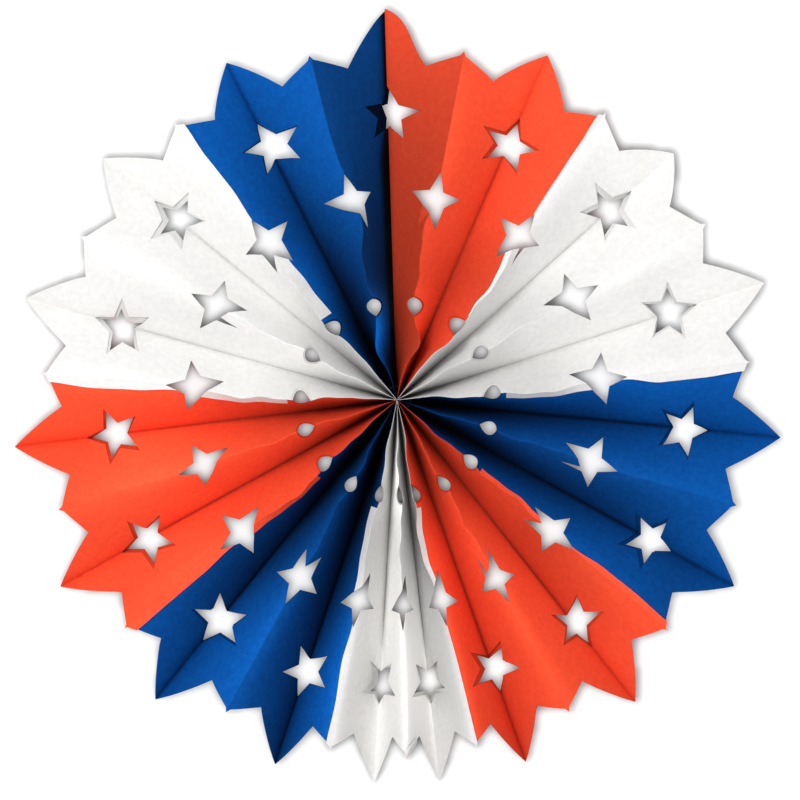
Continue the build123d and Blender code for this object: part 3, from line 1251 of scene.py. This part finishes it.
@dataclass
class Studio:
    """Pale wall and floor with a painted shadow of the rosette on the wall, soft light from the upper left,
    and a long lens square to the rosette.
    """

    frame_width: float = 475.5
    frame_shift: float = 1.8
    camera_distance: float = 2500.0
    sensor: float = 36.0
    wall_gap: float = 1.0
    floor_drop: float = 80.0
    extent: float = 2500.0
    key_place: tuple[float, float, float] = (-700.0, -1600.0, 700.0)
    key_size: float = 700.0
    key_power: float = 19.0
    fill_place: tuple[float, float, float] = (350.0, -2200.0, -350.0)
    fill_size: float = 900.0
    fill_power: float = 12.0
    rear_place: tuple[float, float, float] = (600.0, 1800.0, 1200.0)
    rear_size: float = 1600.0
    rear_power: float = 22.0
    world_strength: float = 0.5
    wall_tone: float = 0.3
    wall_glow: float = 0.9
    floor_tone: float = 0.8
    roughness: float = 0.9
    wall_step: float = 1.8
    wall_reach: float = 246.6
    # Painted shadow on the wall: the distance of the lamp it is worked out from, its blur, reach and depth
    # for each paper.
    painted_shadow_lamp_distance: float = 2000.0
    shade_width: float = 3.3
    shade_reach: float = 3.0
    shade_depths: tuple[tuple[str, float], ...] = (
        ("red_paper", 0.92), ("white_paper", 1.0), ("blue_paper", 0.8),
    )

    def stage_sheet(
        self, name: str, points: Array, columns: int, shade: Array, material: bpy.types.Material
    ) -> None:
        """Stage surface from a grid of points.

        Args:
            name: Name of the object.
            points: Grid of points in millimetres, row by row.
            columns: Points in a row.
            shade: Painted shadow, the share of its own light that each point sends out.
            material: Its finish.
        """
        mesh = bpy.data.meshes.new(name)
        triangles = grid_triangles(len(points) // columns, columns)
        mesh.from_pydata((points * MM).tolist(), [], triangles.tolist())
        mesh.attributes.new("shade", "FLOAT", "POINT").data.foreach_set("value", shade.astype(np.float32))
        mesh.materials.append(material)
        made = bpy.data.objects.new(name, mesh)
        made.visible_shadow = False
        bpy.context.scene.collection.objects.link(made)

    def contact_shade(self, pieces: Sequence[bpy.types.Object], wall: float, lines: Array) -> Array:
        """Painted shadow of the paper on the wall, soft, worked out as if thrown from a lamp in front of
        the hub.

        Each triangle is sampled at its corners, its middle and the middles of its sides. A sample at
        depth y lands on the wall (lamp + wall) / (lamp + y) times as far from the hub's axis. The
        blur is a bell, exp(-(d / width)^2), and the light left is 1 - cover, with a cover of its own
        for each paper.

        Args:
            pieces: The rosette's pieces.
            wall: Depth of the wall in millimetres.
            lines: Places of the wall's grid lines, alike across and up.

        Returns:
            Share of the light at each crossing, row by row upwards.
        """
        third, half = 1.0 / 3.0, 0.5
        spread = np.array([
            (1, 0, 0), (0, 1, 0), (0, 0, 1), (third, third, third),
            (half, half, 0), (half, 0, half), (0, half, half),
        ])
        bins = np.append(lines, lines[-1] + self.wall_step) - self.wall_step / 2.0
        cover = np.zeros((len(lines), len(lines)))
        for piece in pieces:
            points = np.empty(3 * len(piece.data.vertices), np.float32)
            corners = np.empty(3 * len(piece.data.polygons), np.int32)
            piece.data.vertices.foreach_get("co", points)
            piece.data.polygons.foreach_get("vertices", corners)
            triangles = points.reshape(-1, 3)[corners.reshape(-1, 3)] / MM
            x, y, z = (spread @ triangles).reshape(-1, 3).T
            thrown = (self.painted_shadow_lamp_distance + wall) / (self.painted_shadow_lamp_distance + y)
            paper = piece.data.materials[0].name.split(".")[0]
            depth = dict(self.shade_depths).get(paper, 0.0)
            cover = np.maximum(cover, depth * (np.histogram2d(z * thrown, x * thrown, (bins, bins))[0] > 0))
        furthest = self.shade_reach * self.shade_width
        reach = np.arange(-furthest, furthest + self.wall_step / 2.0, self.wall_step)
        bell = np.exp(-((reach / self.shade_width) ** 2))
        for axis in (0, 1):
            cover = np.apply_along_axis(np.convolve, axis, cover, bell / bell.sum(), "same")
        return 1.0 - cover

    def pale_material(self, name: str, tone: float, glow: float) -> bpy.types.Material:
        """Matte pale finish that is clear from behind, so the rosette's back can be looked at.

        Args:
            name: Name of the material.
            tone: How much light it sends back.
            glow: Strength of its own light, which only the camera sees, times the painted shadow of the
                shade attribute.

        Returns:
            The material.
        """
        made = bpy.data.materials.new(name)
        made.use_nodes = True
        nodes, links = made.node_tree.nodes, made.node_tree.links
        shader = nodes["Principled BSDF"]
        shader.inputs["Base Color"].default_value = (tone, tone, tone, 1.0)
        shader.inputs["Roughness"].default_value = self.roughness
        shader.inputs["Emission Color"].default_value = (1.0, 1.0, 1.0, 1.0)
        seen = nodes.new("ShaderNodeLightPath")
        light = nodes.new("ShaderNodeMath")
        light.operation = "MULTIPLY"
        # The shade attribute paints the paper's shadow into the wall's glow.
        shade = nodes.new("ShaderNodeAttribute")
        shade.attribute_name = "shade"
        shaded = nodes.new("ShaderNodeMath")
        shaded.operation = "MULTIPLY"
        shaded.inputs[1].default_value = glow
        links.new(shade.outputs["Fac"], shaded.inputs[0])
        links.new(shaded.outputs[0], light.inputs[1])
        links.new(seen.outputs["Is Camera Ray"], light.inputs[0])
        links.new(light.outputs[0], shader.inputs["Emission Strength"])
        clear = nodes.new("ShaderNodeBsdfTransparent")
        side = nodes.new("ShaderNodeNewGeometry")
        mix = nodes.new("ShaderNodeMixShader")
        links.new(side.outputs["Backfacing"], mix.inputs["Fac"])
        links.new(shader.outputs["BSDF"], mix.inputs[1])
        links.new(clear.outputs["BSDF"], mix.inputs[2])
        links.new(mix.outputs["Shader"], nodes["Material Output"].inputs["Surface"])
        return made

    def light(self, name: str, place: Sequence[float], size: float, power: float) -> None:
        """Square soft light aimed at the hub.

        Args:
            name: Name of the light.
            place: Its centre in millimetres.
            size: Its side in millimetres.
            power: Its power in watts.
        """
        lamp = bpy.data.lights.new(name, "AREA")
        lamp.size = size * MM
        lamp.energy = power
        made = bpy.data.objects.new(name, lamp)
        made.location = Vector(place) * MM
        made.rotation_euler = (-Vector(place)).to_track_quat("-Z", "Y").to_euler()
        bpy.context.scene.collection.objects.link(made)

    def build(self, pieces: Sequence[bpy.types.Object]) -> None:
        """Sets up the wall, the floor, the lights and the camera.

        Args:
            pieces: The rosette's pieces, whose painted shadow goes on the wall.
        """
        scene = bpy.context.scene
        scene.view_settings.view_transform = "Standard"
        low, high = (np.array(corner) / MM for corner in cad_box)
        wall, floor, far = high[1] + self.wall_gap, low[2] - self.floor_drop, self.extent
        lines = np.arange(-self.wall_reach, self.wall_reach + self.wall_step / 2.0, self.wall_step)
        # Painted shadow of the paper on the wall, with full light round its edge.
        shade = np.pad(self.contact_shade(pieces, wall, lines)[:, ::-1], 1, constant_values=1.0)
        up, across = np.concatenate([[floor], lines, [far]]), np.concatenate([[far], lines[::-1], [-far]])
        z, x = np.meshgrid(up, across, indexing="ij")
        points = np.stack([x, np.full_like(x, wall), z], axis=-1).reshape(-1, 3)
        material = self.pale_material("pale_wall", self.wall_tone, self.wall_glow)
        self.stage_sheet("wall", points, len(across), shade.reshape(-1), material)
        corners = np.array([(far, -far, floor), (-far, -far, floor), (far, far, floor), (-far, far, floor)])
        material = self.pale_material("pale_floor", self.floor_tone, 0.0)
        self.stage_sheet("floor", corners, 2, np.ones(4), material)
        self.light("key", self.key_place, self.key_size, self.key_power)
        self.light("fill", self.fill_place, self.fill_size, self.fill_power)
        self.light("rear", self.rear_place, self.rear_size, self.rear_power)
        world = bpy.data.worlds.new("soft_sky")
        world.use_nodes = True
        sky = world.node_tree.nodes["Background"]
        sky.inputs["Color"].default_value = (1.0, 1.0, 1.0, 1.0)
        sky.inputs["Strength"].default_value = self.world_strength
        scene.world = world
        lens = bpy.data.cameras.new("long_lens")
        lens.sensor_width = self.sensor
        lens.lens = self.sensor * self.camera_distance / self.frame_width
        camera = bpy.data.objects.new("long_lens", lens)
        camera.location = Vector((self.frame_shift, -self.camera_distance, 0.0)) * MM
        camera.rotation_euler = (np.pi / 2.0, 0.0, 0.0)
        scene.collection.objects.link(camera)
        scene.camera = camera


@dataclass
class Rosette:
    """The whole fan: its folds, its die and its sections in order round the hub."""

    folds: FanFolds = FanFolds()
    die: DieCut = DieCut()
    first_bulge: float = 3.6
    first_skew: float = 2.0
    last_bulge: float = 1.2
    back_drop: DropHole = DropHole(51.0, 61.5, 3.7)
    back_star: StarHole = StarHole(171.0, tip=16.2, waist=7.4, leg_reach=13.2, leg_spread=9.8)
    narrow_star: StarHole = StarHole(171.0, tip=14.0, waist=6.6, leg_reach=11.4, leg_spread=8.4)
    narrow_leaves: tuple[int, ...] = (1, 2, *range(5, 15), *range(23, 27))
    small_star: StarHole = StarHole(171.0, tip=12.8, waist=6.0, leg_reach=10.6, leg_spread=7.6)
    small_leaves: tuple[int, ...] = (3, 4, *range(27, 31))
    blunt_point: float = 0.72
    blunt_leaves: tuple[int, ...] = (15, 16, 17, 18)
    covered_tip: float = 207.2
    closed_legs: tuple[int, ...] = (5, 7, 15, 17, 19, 22, 24, 26, 32)
    slit_legs: tuple[int, ...] = (3, 9, 13, 28)
    hidden_legs: tuple[int, ...] = (0,)
    narrow_inner: float = 0.76
    narrow_inner_leaves: tuple[int, ...] = (0, 1, 2, 3, 10, 11, 12, 13, 24, 25, 32, 33)
    outer_widenings: tuple[tuple[int, float], ...] = (
        (13, 1.15), (14, 1.5), (15, 1.13), (16, 1.45), (17, 1.25),
        (19, 1.15), (21, 1.1), (22, 1.1), (33, 0.72),
    )
    first_turn: float = 10.0
    last_opening: float = 0.2
    sections: list[PaperSection] = field(default_factory=lambda: [
        PaperSection("red_section_top", PaperColour.RED, 0, 3, covered=(2,)),
        PaperSection("white_section_upper_right", PaperColour.WHITE, 3, 4, (
            SeamFlap(2, (0.3, 1.0, 2.0), (0.3, 0.6, 1.2, 2.4)),
            SeamFlap(7, (4.2, 4.6, 4.6), (1.2, 5.4, 5.4, 4.2)),
        )),
        PaperSection("blue_section_right", PaperColour.BLUE, 7, 4, covered=(7, 10)),
        PaperSection("red_section_lower_right", PaperColour.RED, 11, 4, (
            SeamFlap(10, (2.2, 2.2), (0.7, 3.2, 3.8, 3.2), glow=1.12),
        ), covered=(14,)),
        PaperSection("white_section_bottom", PaperColour.WHITE, 15, 4, (
            SeamFlap(14, (2.4, 2.4), (0.4, 0.6, 0.8, 1.2)), SeamFlap(19, (4.6, 4.8), (0.8, 3.6, 2.4, 3.6)),
        ), rolls=(RolledEdge(16),)),
        PaperSection("blue_section_lower_left", PaperColour.BLUE, 19, 4, covered=(19, 22)),
        PaperSection("red_section_left", PaperColour.RED, 23, 4, (
            SeamFlap(22, (4.6, 4.6), (2.8, 4.6, 4.8, 5.2), glow=1.12),
        ), covered=(26,)),
        PaperSection("white_section_upper_left", PaperColour.WHITE, 27, 4, (
            SeamFlap(26, (4.8, 5.0), (2.4, 4.8, 5.6, 4.0)), SeamFlap(31, (4.0, 4.0), (0.3, 1.8, 1.8, 3.4)),
        )),
        PaperSection("blue_section_top", PaperColour.BLUE, 31, 3, covered=(31,)),
    ])
    papers: tuple[PaperFinish, ...] = (
        PaperFinish(
            "red_paper", (0.95, 0.088, 0.034), (0.78, 0.055, 0.023), (1.0, 0.15, 0.075), 0.04, 0.4,
            shade=0.3, hub_shade=0.42, inside=0.62, crease_shade=0.25, crease_shade_fade=0.5,
        ),
        PaperFinish(
            "white_paper", (0.825, 0.818, 0.805), (0.70, 0.69, 0.675), (0.84, 0.84, 0.83), 0.05, 0.45,
            shade=0.0, hub_shade=0.2, inside=0.88, crease_shade=0.12, crease_shade_fade=0.95,
        ),
        PaperFinish(
            "blue_paper", (0.002, 0.106, 0.45), (0.001, 0.062, 0.3), (0.01, 0.12, 0.45), 0.02, 0.5,
            shade=1.6, hub_shade=1.8, inside=0.35, crease_shade=0.6, crease_shade_fade=0.4,
        ),
    )

    def leaf_die(self, ply: Ply, leaf: int) -> DieCut:
        """Outline of one leaf of one ply.

        Args:
            ply: Which ply. The back one has smaller holes, and some of its legs are covered.
            leaf: Number of the leaf.

        Returns:
            The ordinary die with what differs on that leaf.
        """
        front, last = ply is Ply.FRONT, self.folds.leaf_count - 1
        leg = Leg.SLIT if leaf in self.slit_legs else Leg.OPEN
        if leaf in self.closed_legs or (leaf in self.hidden_legs and not front):
            leg = Leg.CLOSED
        smaller = self.narrow_star if leaf in self.narrow_leaves else self.back_star
        smaller = self.small_star if leaf in self.small_leaves else smaller
        outer_star = replace(
            self.die.outer_star if front else smaller, widening=dict(self.outer_widenings).get(leaf, 1.0),
            point_share=self.blunt_point if leaf in self.blunt_leaves else 1.0,
        )
        inner_star = replace(self.die.inner_star, leg=leg)
        if leaf in self.narrow_inner_leaves:
            inner_star = replace(inner_star, widening=self.narrow_inner)
        drop = self.die.drop if front else self.back_drop
        die = replace(self.die, inner_star=inner_star, outer_star=outer_star, drop=drop)
        if leaf == 0:
            outer_star = replace(outer_star, turn=self.first_turn)
            die = replace(
                die, long_tip_bulge=self.first_bulge, bulge_skew=self.first_skew, outer_star=outer_star,
            )
        if leaf == last:
            outer_star = outer_star if front else replace(outer_star, widening=self.last_opening)
            die = replace(die, long_tip_bulge=self.last_bulge, outer_star=outer_star)
        if any(leaf in section.covered for section in self.sections):
            die = replace(die, short_tip_radius=self.covered_tip, horn=0.0)
        return die

    def sheets(self) -> dict[tuple[Ply, int], LeafSheet]:
        """Cut leaves of both plies, by ply and leaf number. Leaves with the same outline share one."""
        leaves = range(self.folds.leaf_count)
        dies = {(ply, leaf): self.leaf_die(ply, leaf) for ply in Ply for leaf in leaves}
        cut = {die: LeafSheet.cut(die) for die in dict.fromkeys(dies.values())}
        return {key: cut[die] for key, die in dies.items()}

    def build(self) -> list[bpy.types.Object]:
        """Builds every section and the thread.

        Returns:
            The pieces in order.
        """
        fibre, fold = NodeGroups.paper_fibre(), NodeGroups.ridge_rub_and_highlight()
        sheets = self.sheets()
        finishes = {finish.slot: (finish, finish.material(fibre, fold)) for finish in self.papers}
        pieces = [
            section.build(self.folds, sheets, *finishes[section.colour.value])
            for section in self.sections
        ]
        return pieces + [GatheringThread().build(ThreadFinish().material(fibre))]


def main() -> None:
    """Builds the rosette and its studio, and reports each piece."""
    logging.basicConfig(level=logging.INFO, format="%(name)s: %(message)s")
    pieces = Rosette().build()
    for piece in pieces:
        LOG.info("%s has %d triangles", piece.name, len(piece.data.polygons))
    Studio().build(pieces)


if __name__ == "__main__":
    main()
